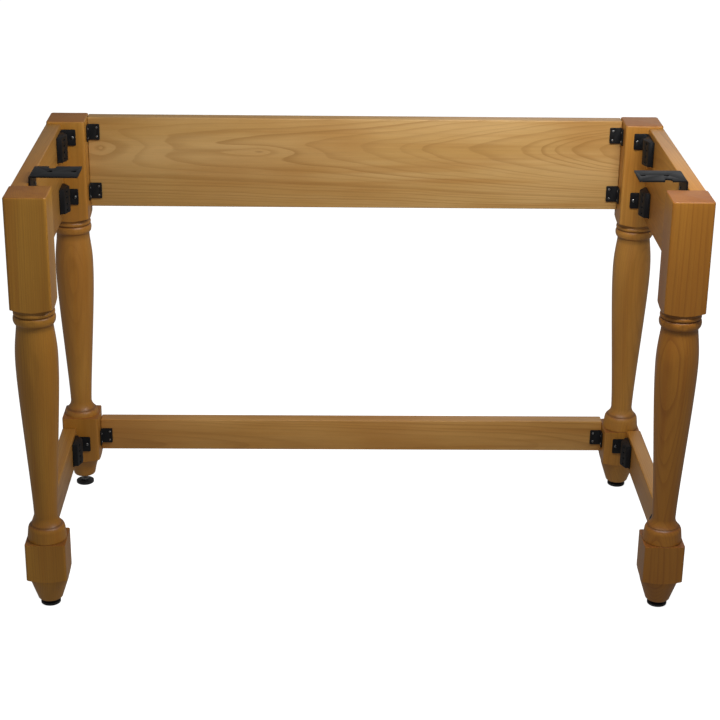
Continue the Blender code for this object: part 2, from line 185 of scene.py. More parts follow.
class Graph:
    """Short calls that add shader nodes to a new material and link them."""

    def __init__(self, name):
        self.material = bpy.data.materials.new(name)
        self.material.use_nodes = True
        self.tree = self.material.node_tree
        self.shader = self.tree.nodes["Principled BSDF"]
        self.coordinates = self.tree.nodes.new("ShaderNodeTexCoord")

    def feed(self, socket, value):
        if isinstance(value, bpy.types.NodeSocket):
            self.tree.links.new(value, socket)
        else:
            socket.default_value = value

    def node(self, kind, *values, output=0, **settings):
        """Add a node, set its properties, feed its inputs in order and return one output."""
        node = self.tree.nodes.new(kind)
        for key, setting in settings.items():
            setattr(node, key, setting)
        for socket, value in zip(node.inputs, values):
            if value is not None:
                self.feed(socket, value)
        return node.outputs[output]

    def maths(self, operation, *values):
        return self.node("ShaderNodeMath", *values, operation=operation)

    def vector(self, operation, *values):
        output = "Value" if operation in ("LENGTH", "DOT_PRODUCT") else 0
        return self.node("ShaderNodeVectorMath", *values, operation=operation, output=output)

    def scaled(self, vector, factors):
        return self.vector("MULTIPLY", vector, factors)

    def noise(self, vector, scale, detail=2.0, roughness=0.5, output=0):
        return self.node("ShaderNodeTexNoise", vector, None, scale, detail, roughness, output=output)

    def seeded(self, seed):
        """Object coordinates moved off by a seed, so no two materials share a pattern."""
        return self.vector("ADD", self.coordinates.outputs["Object"], (seed, seed, seed))

    def ramp(self, value, low, high):
        """A smooth step from 0 to 1 as value goes from low to high."""
        return self.node("ShaderNodeMapRange", value, low, high, 0.0, 1.0, interpolation_type="SMOOTHSTEP")

    def mix(self, factor, first, second, blend="MIX"):
        node = self.tree.nodes.new("ShaderNodeMix")
        node.data_type = "RGBA"
        node.blend_type = blend
        for name, value in (("Factor_Float", factor), ("A_Color", first), ("B_Color", second)):
            socket = next(s for s in node.inputs if s.identifier == name)
            self.feed(socket, value)
        return next(s for s in node.outputs if s.identifier == "Result_Color")

    def bump(self, height, distance, strength):
        node = self.tree.nodes.new("ShaderNodeBump")
        node.inputs["Strength"].default_value = strength
        node.inputs["Distance"].default_value = distance
        self.feed(node.inputs["Height"], height)
        return node.outputs[0]

    def attribute(self, name):
        node = self.tree.nodes.new("ShaderNodeAttribute")
        node.attribute_name = name
        return node.outputs["Fac"]

    def surface(self, **inputs):
        for name, value in inputs.items():
            self.feed(self.shader.inputs[name.replace("_", " ")], value)
        return self.material


def colour(red, green, blue):
    return (red, green, blue, 1.0)


# ---------------------------------------------------------------- materials

EARLY_WOOD = colour(0.420, 0.190, 0.030)
PALE_WOOD = colour(0.500, 0.250, 0.052)
LATE_WOOD = colour(0.250, 0.092, 0.010)
RUSTY_WOOD = colour(0.345, 0.128, 0.015)
END_TINT = colour(0.74, 0.62, 0.66)
KNOT_WOOD = colour(0.130, 0.036, 0.006)
BLACK_COAT = colour(0.0050, 0.0052, 0.0062)
RUBBED_COAT = colour(0.034, 0.036, 0.042)
DULL_ZINC = colour(0.20, 0.20, 0.20)
PALE_ZINC = colour(0.44, 0.44, 0.43)
BLACK_PLASTIC = colour(0.011, 0.011, 0.012)
DUST = colour(0.065, 0.060, 0.054)


def pine(name, pith, grain, pitch, seed, contrast, wander=0.006, ruffle=0.0016, tint=(1, 1, 1), swells=()):
    """Varnished softwood as a solid log: growth rings around a pith line, seen wherever a piece cuts them.

    pith is a point on the log's axis and grain its direction, in the piece's own coordinates. The rings flow
    round each swell, (place, length along the grain, width, lift, darkness of its heart). tint multiplies the
    colour.
    """
    g = Graph(name)
    grain = Vector(grain).normalized()
    turn = UP.rotation_difference(grain).to_euler()
    place = g.coordinates.outputs["Object"]
    log = g.node("ShaderNodeMapping", place, tuple(pith), tuple(turn), (1, 1, 1), vector_type="TEXTURE")

    # Slow wandering of the rings, long along the grain
    shifted = g.vector("ADD", log, (seed, 2 * seed, 3 * seed))
    slow = g.noise(g.scaled(shifted, (11, 11, 1.7)), 1.0, 2.0, 0.5, output=1)
    drift = g.scaled(g.vector("SUBTRACT", slow, (0.5, 0.5, 0.5)), (wander * 2, wander * 2, 0))
    ripple = g.noise(g.scaled(shifted, (60, 60, 9)), 1.0, 1.0, 0.5, output=1)
    quiver = g.scaled(g.vector("SUBTRACT", ripple, (0.5, 0.5, 0.5)), (ruffle, ruffle, 0))
    wandered = g.vector("ADD", g.vector("ADD", log, drift), quiver)
    radius = g.vector("LENGTH", g.scaled(wandered, (1, 1, 0)))

    heart = None
    for middle, length, width, lift, darkness in swells:
        apart = g.vector("SUBTRACT", place, tuple(middle))
        along = g.vector("DOT_PRODUCT", apart, tuple(grain))
        off_line = g.vector("SUBTRACT", apart, g.vector("SCALE", tuple(grain), None, None, along))
        across = g.vector("LENGTH", off_line)
        stretched = g.maths("POWER", g.maths("ABSOLUTE", g.maths("DIVIDE", along, length)), 1.4)
        reach = g.maths("ADD", stretched, g.maths("POWER", g.maths("DIVIDE", across, width), 2))
        hump = g.maths("EXPONENT", g.maths("MULTIPLY", reach, -1))
        radius = g.maths("MULTIPLY_ADD", hump, lift, radius)
        if darkness > 0:
            core = g.maths("MULTIPLY", g.ramp(reach, 0.05, 0.01), darkness)
            heart = core if heart is None else g.maths("MAXIMUM", heart, core)

    # Growth rings of uneven width: a slow darkening, then a sharp return to pale early wood
    uneven = g.noise(g.node("ShaderNodeCombineXYZ", g.maths("MULTIPLY", radius, 95), seed, 0), 1.0, 1.0, 0.5)
    turns = g.maths("ADD", g.maths("DIVIDE", radius, pitch), g.maths("MULTIPLY", uneven, 2.4))
    phase = g.maths("FRACT", turns)
    ring = g.maths("FLOOR", turns)
    late = g.maths("MULTIPLY", g.maths("POWER", g.ramp(phase, 0.35, 0.95), 1.9), g.ramp(phase, 1.0, 0.93))
    strength = g.node("ShaderNodeTexWhiteNoise", None, g.maths("ADD", ring, seed * 7), noise_dimensions="1D")
    late = g.maths("MULTIPLY", late, g.maths("MULTIPLY_ADD", strength, 0.75, 0.35))

    # Fibres, resin ducts and broad tone, all stretched along the grain
    fibre = g.noise(g.scaled(shifted, (1500, 1500, 28)), 1.0, 3.0, 0.6)
    strand = g.noise(g.scaled(shifted, (330, 330, 5)), 1.0, 2.0, 0.55)
    duct = g.ramp(g.noise(g.scaled(shifted, (2100, 2100, 110)), 1.0, 1.0, 0.4), 0.70, 0.78)
    broad = g.noise(g.scaled(shifted, (16, 16, 2.2)), 1.0, 3.0, 0.55)
    cloud = g.noise(g.scaled(shifted, (5, 5, 3)), 1.0, 2.0, 0.5)
    band = g.noise(g.scaled(shifted, (75, 75, 2.0)), 1.0, 2.0, 0.5)
    base = g.mix(g.ramp(broad, 0.28, 0.72), EARLY_WOOD, PALE_WOOD)
    base = g.mix(g.maths("MULTIPLY", g.ramp(cloud, 0.42, 0.70), 0.55), base, RUSTY_WOOD)
    base = g.mix(g.maths("MULTIPLY", g.ramp(band, 0.50, 0.80), 0.50), base, RUSTY_WOOD)
    wood = g.mix(g.maths("MULTIPLY", late, contrast), base, LATE_WOOD)
    shade = g.maths("MULTIPLY_ADD", strand, 0.17, 0.915)
    shade = g.maths("MULTIPLY", shade, g.maths("MULTIPLY_ADD", fibre, 0.20, 0.90))
    shade = g.maths("MULTIPLY", shade, g.maths("MULTIPLY_ADD", duct, -0.16, 1.0))

    # The colour is darker in the grooves and coves that the lathe cut
    shade = g.maths("MULTIPLY", shade, g.maths("MULTIPLY_ADD", g.attribute(GROOVE), -0.45, 1.0))
    wood = g.mix(1.0, wood, g.node("ShaderNodeCombineColor", shade, shade, shade), "MULTIPLY")
    wood = g.mix(1.0, wood, colour(*tint), "MULTIPLY")
    if heart is not None:
        wood = g.mix(heart, wood, KNOT_WOOD)

    # Where the surface cuts across the fibres it soaks up the finish and darkens
    facing = g.maths("ABSOLUTE", g.vector("DOT_PRODUCT", g.coordinates.outputs["Normal"], tuple(grain)))
    end_grain = g.ramp(facing, 0.30, 0.92)
    wood = g.mix(end_grain, wood, g.mix(1.0, wood, END_TINT, "MULTIPLY"))

    gloss = g.maths("MULTIPLY_ADD", fibre, 0.12, 0.33)
    gloss = g.maths("ADD", gloss, g.maths("MULTIPLY", end_grain, 0.10))
    relief = g.maths("ADD", g.maths("MULTIPLY", fibre, 0.5), g.maths("MULTIPLY", late, 0.5))
    relief = g.maths("SUBTRACT", relief, g.maths("MULTIPLY", duct, 0.5))
    return g.surface(Base_Color=wood, Roughness=gloss, Normal=g.bump(relief, 0.00012, 0.6), Coat_Weight=0.06,
                     Coat_Roughness=0.22, Coat_IOR=1.5)


def black_paint(name, seed):
    """Satin black paint on pressed steel, with fine orange peel and paler rubbed patches."""
    g = Graph(name)
    place = g.seeded(seed)
    peel = g.noise(place, 2200, 2.0, 0.5)
    speck = g.noise(place, 900, 3.0, 0.6)
    patch = g.noise(place, 60, 3.0, 0.6)
    wear = g.maths("MULTIPLY", g.ramp(patch, 0.52, 0.78), g.ramp(speck, 0.40, 0.75))
    paint = g.mix(wear, BLACK_COAT, RUBBED_COAT)
    gloss = g.maths("MULTIPLY_ADD", patch, 0.16, 0.40)
    gloss = g.maths("MULTIPLY_ADD", speck, 0.10, gloss)
    return g.surface(Base_Color=paint, Roughness=gloss, Normal=g.bump(peel, 0.00005, 0.5),
                     Specular_IOR_Level=0.35)


def zinc_plate(name, seed):
    """Dulled zinc plate, cloudy and finely scratched."""
    g = Graph(name)
    place = g.seeded(seed)
    cloudy = g.noise(place, 260, 3.0, 0.6)
    scratch = g.noise(g.scaled(place, (5200, 700, 700)), 1.0, 2.0, 0.5)
    plate = g.mix(g.ramp(cloudy, 0.3, 0.7), DULL_ZINC, PALE_ZINC)
    gloss = g.maths("MULTIPLY_ADD", cloudy, 0.18, 0.17)
    gloss = g.maths("MULTIPLY_ADD", scratch, 0.10, gloss)
    return g.surface(Base_Color=plate, Metallic=1.0, Roughness=gloss, Normal=g.bump(scratch, 0.00002, 0.4))


def black_moulding(name, seed):
    """Moulded black plastic with a fine matt texture and a little dust."""
    g = Graph(name)
    place = g.seeded(seed)
    grain = g.noise(place, 3200, 2.0, 0.5)
    dust = g.ramp(g.noise(place, 170, 4.0, 0.65), 0.52, 0.80)
    body = g.mix(g.maths("MULTIPLY", dust, 0.35), BLACK_PLASTIC, DUST)
    gloss = g.maths("MULTIPLY_ADD", grain, 0.20, 0.36)
    return g.surface(Base_Color=body, Roughness=gloss, Normal=g.bump(grain, 0.00006, 0.5))


# ---------------------------------------------------------------- mesh helpers


def add_piece(name, mesh, material, body, location, rotation=(0, 0, 0), stands_for=()):
    """Place one piece, ride it on its body and hide the CAD nodes it stands for."""
    piece = bpy.data.objects.new(name, mesh)
    piece.location = location
    piece.rotation_euler = rotation
    if not mesh.materials:
        mesh.materials.append(material)
    bpy.context.scene.collection.objects.link(piece)
    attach(piece, body)
    if stands_for:
        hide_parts(*stands_for)


def shaded(mesh, angle=35):
    """The mesh with smooth shading that breaks at edges sharper than an angle."""
    mesh.shade_smooth()
    mesh.set_sharp_from_angle(angle=math.radians(angle))
    return mesh


def finished_mesh(name, shape, angle=35):
    """Turn a bmesh into a shaded mesh."""
    mesh = bpy.data.meshes.new(name)
    bmesh.ops.recalc_face_normals(shape, faces=shape.faces)
    shape.to_mesh(mesh)
    shape.free()
    return shaded(mesh, angle)


def evaluated(piece, name):
    """The piece's mesh with its modifiers applied. The piece itself is removed."""
    bpy.context.view_layer.update()
    graph = bpy.context.evaluated_depsgraph_get()
    mesh = bpy.data.meshes.new_from_object(piece.evaluated_get(graph))
    mesh.name = name
    bpy.data.objects.remove(piece, do_unlink=True)
    return mesh


def linked(name, shape):
    """A bmesh as an object in the scene, such as a cutter that is removed once its cut is applied."""
    mesh = bpy.data.meshes.new(name)
    shape.to_mesh(mesh)
    shape.free()
    piece = bpy.data.objects.new(name, mesh)
    bpy.context.scene.collection.objects.link(piece)
    return piece


def worked(name, shape, *modifiers):
    """A bmesh with modifiers applied to it, each given as (kind, settings)."""
    piece = linked(name, shape)
    for kind, settings in modifiers:
        modifier = piece.modifiers.new(kind.title(), kind)
        for key, setting in settings.items():
            setattr(modifier, key, setting)
    return evaluated(piece, name)


def bevel(width, segments, angle=30):
    return ("BEVEL", {"width": width, "segments": segments, "limit_method": "ANGLE",
                      "angle_limit": math.radians(angle)})


def minus(cutter):
    return ("BOOLEAN", {"object": cutter})


def cylinder(shape, centre, axis, radius, length, segments=24):
    turn = UP.rotation_difference(Vector(axis)).to_matrix().to_4x4()
    bmesh.ops.create_cone(shape, cap_ends=True, segments=segments, radius1=radius, radius2=radius,
                          depth=length, matrix=Matrix.Translation(Vector(centre)) @ turn)


def drilled(name, shape, holes, edge, angle=30):
    """Holes, each (centre, axis, radius, length), through a bmesh, and its edges rounded."""
    drills = bmesh.new()
    for hole in holes:
        cylinder(drills, *hole)
    drill = linked(name + "_drills", drills)
    mesh = worked(name, shape, minus(drill), bevel(edge, 2, angle))
    bpy.data.objects.remove(drill, do_unlink=True)
    return shaded(mesh)


def ring_at(shape, radius, z, columns):
    turns = [math.tau * i / columns for i in range(columns)]
    return [shape.verts.new((radius * math.cos(a), radius * math.sin(a), z)) for a in turns]


def extrude_outline(outline, low, high):
    """A prism of an outline in X and Y between two heights, as a bmesh."""
    shape = bmesh.new()
    bottom = [shape.verts.new((x, y, low)) for x, y in outline]
    top = [shape.verts.new((x, y, high)) for x, y in outline]
    shape.faces.new(list(reversed(bottom)))
    shape.faces.new(top)
    for i in range(len(outline)):
        j = (i + 1) % len(outline)
        shape.faces.new((bottom[i], bottom[j], top[j], top[i]))
    bmesh.ops.recalc_face_normals(shape, faces=shape.faces)
    return shape


def spun(name, profile, columns, angle=35):
    """A closed (radius, height) outline, turned about Z. Points on the axis become poles."""
    shape = bmesh.new()
    rings = []
    for radius, height in profile:
        if radius > 0:
            rings.append(ring_at(shape, radius, height, columns))
        else:
            rings.append([shape.verts.new((0, 0, height))] * columns)
    loops = list(zip(rings, rings[1:]))
    if profile[0] == profile[-1]:
        loops[-1] = (rings[-2], rings[0])
        bmesh.ops.delete(shape, geom=rings[-1], context="VERTS")
    for upper, lower in loops:
        for i in range(columns):
            j = (i + 1) % columns
            corners = [upper[i], upper[j], lower[j], lower[i]]
            corners = [v for k, v in enumerate(corners) if v not in corners[:k]]
            if len(corners) > 2:
                shape.faces.new(corners)
    return finished_mesh(name, shape, angle)


# ---------------------------------------------------------------- legs


def bezier(start, lead_out, lead_in, end, count):
    """Points of a cubic Bezier curve after its start, up to and including its end."""
    t = np.linspace(0, 1, count + 1)[1:, None]
    start, lead_out, lead_in, end = (np.array(p) for p in (start, lead_out, lead_in, end))
    return ((1 - t) ** 3 * start + 3 * t * (1 - t) ** 2 * lead_out + 3 * t * t * (1 - t) * lead_in
            + t ** 3 * end).tolist()


def lifted(points, height):
    return [(radius, z + height) for radius, z in points]


def turned_outline(short):
    """The lathe's outline of a leg, from the top down, as (radius, height). Blocks overshoot the stock."""
    shoulder = [(SPUN_BLOCK, 0.5535), (0.0362, 0.5472), (0.0345, 0.5462), (0.0332, 0.5448), (0.0328, 0.5434),
                (0.0329, 0.5420), (0.0339, 0.5408), (0.0343, 0.5396), (0.0343, 0.5374), (0.0339, 0.5364),
                (0.0324, 0.5354), (0.0321, 0.5346)]
    shoulder += bezier((0.0321, 0.5346), (0.0368, 0.5328), (0.0362, 0.5208), (0.0308, 0.5180), 18)
    shoulder += [(0.0305, 0.5160), (0.0307, 0.5125)]
    vase = bezier((0.0307, 0.5125), (0.0326, 0.4960), (0.0352, 0.4800), (0.0355, 0.4550), 14)
    neck = (0.0200, 0.1680 + SHORT_FLARE_LIFT * short)
    vase += bezier((0.0355, 0.4550), (0.0355, 0.3900), (0.0215, 0.2350), neck, 40)
    flare = bezier((0.0200, 0.1680), (0.0204, 0.1620), (0.0235, 0.1570), (0.0265, 0.1540), 14)
    flare += [(0.0267, 0.1533)]
    flare += bezier((0.0270, 0.1529), (0.0300, 0.1516), (0.0316, 0.1475), (0.0319, 0.1420), 14)
    collar = [(0.0336, 0.1268), (0.0335, 0.1260), (0.0343, 0.1257), (SPUN_BLOCK, 0.1415)]
    foot = [(SPUN_BLOCK, 0.0605), (0.0345, 0.0543), (0.0339, 0.0537)]
    if short:
        shoulder = lifted(shoulder, SHORT_SHOULDER_LIFT)
        flare = lifted(flare, SHORT_FLARE_LIFT)
        collar = lifted(collar, SHORT_FLARE_LIFT)
        foot = lifted(foot, SHORT_BLOCK_END_LIFT)
        foot += [(0.0300, 0.0545), (0.0250, 0.0420), (0.0222, 0.0300), (0.0213, 0.0250), (0.0206, 0.0223),
                 (0.0196, 0.0209), (0.0185, SHORT_WOOD_END)]
    else:
        foot += [(0.0325, 0.0465), (0.0220, 0.0150), (0.0212, 0.0125), (0.0200, 0.0110),
                 (0.0185, WOOD_END)]
    return [(SPUN_BLOCK, LEG_TOP)] + shoulder + vase + flare + collar + foot


def leg_heights(outline):
    """Heights of a leg's rings: fine where lathe and square stock meet, and at each turn of the outline."""
    top, low = LEG_TOP, outline[-1][1]
    heights = {z for _, z in outline}
    for start, end, step in ((0.5570, 0.5470, FINE_STEP), (0.1510, 0.1256, FINE_STEP),
                             (0.0650, 0.0536, FINE_STEP), (top - 0.002, 0.5570, BLOCK_STEP),
                             (0.1256, 0.0650, BLOCK_STEP), (0.0536, low, FOOT_STEP)):
        heights |= set(np.arange(end, start, step).tolist())
    heights = sorted((z for z in heights if low <= z <= top - 2 * TOP_ROUND), reverse=True)
    kept = [heights[0]]
    for z in heights[1:]:
        if kept[-1] - z > LEAST_STEP:
            kept.append(z)
    return kept


def block_radius(angle):
    """Distance from the axis to the rounded square stock, at an angle."""
    inner = HALF_STOCK - CORNER_RADIUS
    across = np.abs(np.cos(angle))
    along = np.abs(np.sin(angle))
    flat = HALF_STOCK / np.maximum(across, along)
    reach = inner * (across + along)
    corner = reach + np.sqrt(np.maximum(reach ** 2 - 2 * inner ** 2 + CORNER_RADIUS ** 2, 0))
    in_corner = np.minimum(across, along) * flat > inner
    return np.where(in_corner, corner, flat)


def soft_minimum(first, second, width):
    """The smaller of two radii, with the arris between them rounded over a width."""
    blend = np.maximum(width - np.abs(first - second), 0) / width
    return np.minimum(first, second) - blend ** 2 * width / 4


def leg_columns():
    """Angles round a leg, closer together at the corners of the stock."""
    even = np.linspace(0, math.tau, LEG_COLUMNS, endpoint=False)
    return even - CORNER_CROWDING * np.sin(4 * (even - math.pi / 4))


def leg_mesh(name, short):
    """A turned leg as one skin, down its outside and up its stud hole.

    At each height it is the smaller of the lathe's circle and the square stock.
    """
    outline = turned_outline(short)
    heights = leg_heights(outline)
    outline_z = np.array([z for _, z in outline])[::-1]
    outline_r = np.array([r for r, _ in outline])[::-1]
    angles = leg_columns()
    square = block_radius(angles)
    rows = []
    for a in np.linspace(0, math.pi / 2, 7):
        rows.append((square - TOP_ROUND * (1 - math.sin(a)), LEG_TOP - TOP_ROUND * (1 - math.cos(a))))
    for z in heights:
        turned = np.full_like(angles, np.interp(z, outline_z, outline_r))
        rows.append((soft_minimum(turned, square, ARRIS), z))
    end = outline[-1][1]
    flange_top = end + FLANGE_THICK + GAP
    insert_top = end + INSERT_LENGTH + GAP
    for radius, z in ((FLANGE_RADIUS + GAP, end), (FLANGE_RADIUS + GAP, flange_top),
                      (INSERT_RADIUS + GAP, flange_top), (INSERT_RADIUS + GAP, insert_top),
                      (STUD_HOLE_RADIUS, insert_top), (STUD_HOLE_RADIUS, end + STUD_HOLE_DEPTH)):
        rows.append((np.full_like(angles, radius), z))
    shape = bmesh.new()
    # Per vertex, how much darker the colour is in the grooves and coves of the turning
    groove_darkening = shape.verts.layers.float.new(GROOVE)
    rings = [[shape.verts.new((r * math.cos(a), r * math.sin(a), z)) for r, a in zip(radii, angles)]
             for radii, z in rows]
    for ring, (radii, z) in zip(rings, rows):
        depth = sum(weight * math.exp(-((z - middle - lift * short) / width) ** 2)
                    for middle, width, weight, lift in GROOVES)
        for vertex, radius in zip(ring, radii):
            vertex[groove_darkening] = min(depth, 1.0) if radius < HALF_STOCK else 0.0
    for upper, lower in zip(rings, rings[1:]):
        for i in range(LEG_COLUMNS):
            j = (i + 1) % LEG_COLUMNS
            shape.faces.new((upper[i], lower[i], lower[j], upper[j]))
    shape.faces.new(rings[0])
    shape.faces.new(list(reversed(rings[-1])))
    return finished_mesh(name, shape, angle=32)


def build_legs():
    leg_x = (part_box("leg_front_right")[0].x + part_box("leg_front_right")[1].x) / 2
    leg_y = (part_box("leg_rear_right")[0].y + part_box("leg_rear_right")[1].y) / 2
    woods = {
        ("front", "left"): dict(pith=(0.120, 0.020, 0), pitch=0.0036, contrast=0.30, seed=1.7,
                                tint=(0.97, 0.92, 0.52)),
        ("front", "right"): dict(pith=(0.045, 0.100, 0), pitch=0.0034, contrast=0.41, seed=4.1,
                                 tint=(0.82, 0.68, 0.35)),
        ("rear", "left"): dict(pith=(-0.010, 0.095, 0), pitch=0.0040, contrast=0.30, seed=8.3,
                               tint=(1.14, 1.12, 0.92)),
        ("rear", "right"): dict(pith=(-0.060, 0.070, 0), pitch=0.0036, contrast=0.26, seed=6.2,
                                tint=(1.10, 1.04, 0.90)),
    }
    for end, side in CORNERS:
        wood = pine(f"pine_leg_{end}_{side}", grain=(0.012, -0.008, 1), wander=0.005, **woods[end, side])
        mesh = leg_mesh(f"turned_leg_{end}_{side}", short=(end, side) == ("rear", "left"))
        where = (SIDES[side] * leg_x, ENDS[end] * leg_y, 0)
        add_piece(f"turned_leg_{end}_{side}", mesh, wood, "frame", where,
                  stands_for=[f"leg_{end}_{side}"])


# ---------------------------------------------------------------- boards


def board_mesh(name, size):
    """A planed board with rounded edges."""
    shape = bmesh.new()
    bmesh.ops.create_cube(shape, size=1, matrix=Matrix.Diagonal((*size, 1)))
    return shaded(worked(name, shape, bevel(BOARD_EASE, 4)), angle=50)


def build_boards():
    x, y, z = Vector((1, 0, 0)), Vector((0, 1, 0)), UP
    boards = {
        # The rear apron's pale, blue-heavy tint is partly the board's own tone and partly a painted sheen:
        # the pale veil of reflected light put into the wood's colour
        "apron_rear": dict(pith=(-0.25, 0.105, 0.030), grain=x - 0.016 * y + 0.004 * z, pitch=0.0044,
                           seed=3.3, wander=0.0065, ruffle=0.0022, contrast=0.46, tint=(1.26, 1.55, 2.8),
                           swells=[((-0.470, INNER_FACE, 0.028), 0.070, 0.024, 0.013, 0.05),
                                   ((-0.178, INNER_FACE, 0.022), 0.090, 0.011, 0.009, 0.25),
                                   ((0.540, INNER_FACE, 0.020), 0.380, 0.085, -0.034, 0)]),
        "apron_left": dict(pith=(0.110, 0, 0.015), grain=y + 0.03 * x, pitch=0.0038, seed=5.9, contrast=0.40),
        "apron_right": dict(pith=(-0.100, 0, 0.030), grain=y - 0.04 * x, pitch=0.0040, seed=9.6,
                            contrast=0.40, tint=(1.10, 1.06, 0.95),
                            swells=[((INNER_FACE, -0.005, -0.012), 0.035, 0.014, 0.012, 0.9)]),
        "stretcher_rear": dict(pith=(0, -0.090, -0.020), grain=x - 0.020 * y, pitch=0.0036, seed=2.4,
                               contrast=0.40, tint=(1.30, 1.38, 1.85)),
        "stretcher_left": dict(pith=(0.090, 0, 0), grain=y, pitch=0.0034, seed=7.7, contrast=0.40),
        "stretcher_right": dict(pith=(-0.080, 0, 0), grain=y, pitch=0.0034, seed=11.2, contrast=0.40,
                                tint=(1.25, 1.25, 1.20)),
    }
    for node, wood in boards.items():
        low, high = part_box(node)
        mesh = board_mesh("board_" + node, high - low)
        add_piece("board_" + node, mesh, pine("pine_" + node, **wood), "frame", (low + high) / 2,
                  stands_for=[node])


# ---------------------------------------------------------------- steel fittings


def screw_mesh(name, head_radius, head_height):
    """A pan-head screw with a cross recess, its underside at the origin and its head along +Z."""
    dome = [(head_radius * math.cos(a), head_height * (0.30 + 0.70 * math.sin(a)))
            for a in np.linspace(0, math.pi / 2 * 0.96, 9)]
    profile = [(0, dome[-1][1])] + dome[::-1] + [(head_radius * 0.97, 0.0), (0, 0.0)]
    piece = bpy.data.objects.new(name, spun(name + "_blank", profile, 40))
    bpy.context.scene.collection.objects.link(piece)
    arm, width, depth = head_radius * 0.62, head_radius * 0.19, head_height * 0.62
    recess = bmesh.new()
    for turn in (0, math.pi / 2):
        matrix = Matrix.Rotation(turn, 4, "Z") @ Matrix.Translation((0, 0, head_height - depth / 2))
        bmesh.ops.create_cube(recess, size=1, matrix=matrix @ Matrix.Diagonal((2 * arm, width, depth, 1)))
    cross = linked(name + "_cross", recess)
    cut = piece.modifiers.new("Recess", "BOOLEAN")
    cut.object = cross
    cut.use_self = True
    mesh = evaluated(piece, name)
    bpy.data.objects.remove(cross, do_unlink=True)
    return shaded(mesh)


def rounded_angle(name, long_leaf, long_holes, short_holes):
    """A pressed corner angle, long leaf along +X and short leaf along -Y, drilled, its corners rounded."""
    inner = ANGLE_BEND - ANGLE_THICK
    arc = [math.pi - i * math.pi / 2 / 8 for i in range(9)]
    centre = GAP + ANGLE_BEND
    outer_arc = [(centre + ANGLE_BEND * math.cos(a), -centre + ANGLE_BEND * math.sin(a)) for a in arc]
    inner_arc = [(centre + inner * math.cos(a), -centre + inner * math.sin(a)) for a in reversed(arc)]
    outline = ([(GAP, -ANGLE_SHORT)] + outer_arc + [(long_leaf, -GAP), (long_leaf, -GAP - ANGLE_THICK)]
               + inner_arc + [(GAP + ANGLE_THICK, -ANGLE_SHORT)])
    half = ANGLE_HEIGHT / 2
    shape = extrude_outline(outline, -half, half)
    corners = []
    for edge in shape.edges:
        a, b = (v.co for v in edge.verts)
        level = abs(a.z - b.z) < 1e-6
        long_end = min(a.x, b.x) > long_leaf - 1e-6
        short_end = max(a.y, b.y) < -ANGLE_SHORT + 1e-6
        if level and (long_end or short_end):
            corners.append(edge)
    bmesh.ops.bevel(shape, geom=corners, offset=ANGLE_ROUND, segments=5, affect="EDGES", profile=0.5)
    middle, through = GAP + ANGLE_THICK / 2, 3 * ANGLE_THICK
    holes = [((at, -middle, z), (0, 1, 0), radius, through) for at, z, radius in long_holes]
    holes += [((middle, -at, z), (1, 0, 0), radius, through) for at, z, radius in short_holes]
    return drilled(name, shape, holes, ANGLE_EDGE, 40)


def corner_turn(side, end):
    """The half turn that carries one stamping to a corner, as Euler angles."""
    return {("left", "rear"): (0, 0, 0), ("right", "rear"): (0, HALF_TURN, 0),
            ("left", "front"): (HALF_TURN, 0, 0), ("right", "front"): (0, 0, HALF_TURN)}[side, end]


def place_screws(prefix, mesh, spots, matrix, material, seed):
    """Screws on a fitting: spots are (place, outward direction) in the fitting's coordinates."""
    for i, (place, outward) in enumerate(spots):
        spin = Matrix.Rotation(0.7 * seed + 2.1 * i, 4, "Z")
        turn = UP.rotation_difference(Vector(outward)).to_matrix().to_4x4()
        world = matrix @ Matrix.Translation(Vector(place)) @ turn @ spin
        add_piece(f"{prefix}_{i + 1}", mesh, material, "frame", world.translation, world.to_euler())


def build_angles(black, zinc, small_screw, large_screw):
    pair = (-HOLE_SPREAD, HOLE_SPREAD)
    long_at, short_at = REAR_ANGLE_LONG - HOLE_EDGE, ANGLE_SHORT - HOLE_EDGE
    rear = rounded_angle("pressed_rear_angle", REAR_ANGLE_LONG, [(long_at, z, SMALL_HOLE) for z in pair],
                         [(short_at, z, SMALL_HOLE) for z in pair])
    side = rounded_angle("pressed_side_angle", SIDE_ANGLE_LONG, [(SIDE_HOLE_AT, 0, LARGE_HOLE)],
                         [(short_at, z, SMALL_HOLE) for z in pair])
    face = -GAP - ANGLE_THICK
    rear_spots = [((long_at, face, z), (0, -1, 0)) for z in pair]
    short_spots = [((-face, -short_at, z), (1, 0, 0)) for z in pair]
    side_spot = [((SIDE_HOLE_AT, face, 0), (0, -1, 0))]
    rail_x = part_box("apron_right")[0].x
    rail_end_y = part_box("leg_rear_left")[0].y
    board_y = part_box("apron_rear")[0].y
    leg_x = -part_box("leg_rear_left")[1].x
    seed = 0
    for kind, level in (("apron", "upper"), ("apron", "lower"), ("stretcher", "mid")):
        for end, x_side in CORNERS:
            node = f"angle_{kind}_{x_side}_{end}_{level}"
            low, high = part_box(node)
            where = Vector((SIDES[x_side] * rail_x, ENDS[end] * rail_end_y, (low.z + high.z) / 2))
            turn = corner_turn(x_side, end)
            add_piece("pressed_" + node, side, black, "frame", where, turn, [node])
            matrix = Matrix.LocRotScale(where, Euler(turn), None)
            place_screws("screw_" + node + "_leg", large_screw, side_spot, matrix, zinc, seed)
            place_screws("screw_" + node + "_board", small_screw, short_spots, matrix, zinc, seed)
            seed += 1
        for x_side, sign in SIDES.items():
            node = f"angle_{kind}_rear_{x_side}_{level}"
            low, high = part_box(node)
            where = Vector((sign * leg_x, board_y, (low.z + high.z) / 2))
            turn = corner_turn(x_side, "rear")
            add_piece("pressed_" + node, rear, black, "frame", where, turn, [node])
            matrix = Matrix.LocRotScale(where, Euler(turn), None)
            place_screws("screw_" + node, small_screw, rear_spots + short_spots, matrix, zinc, seed)
            seed += 1


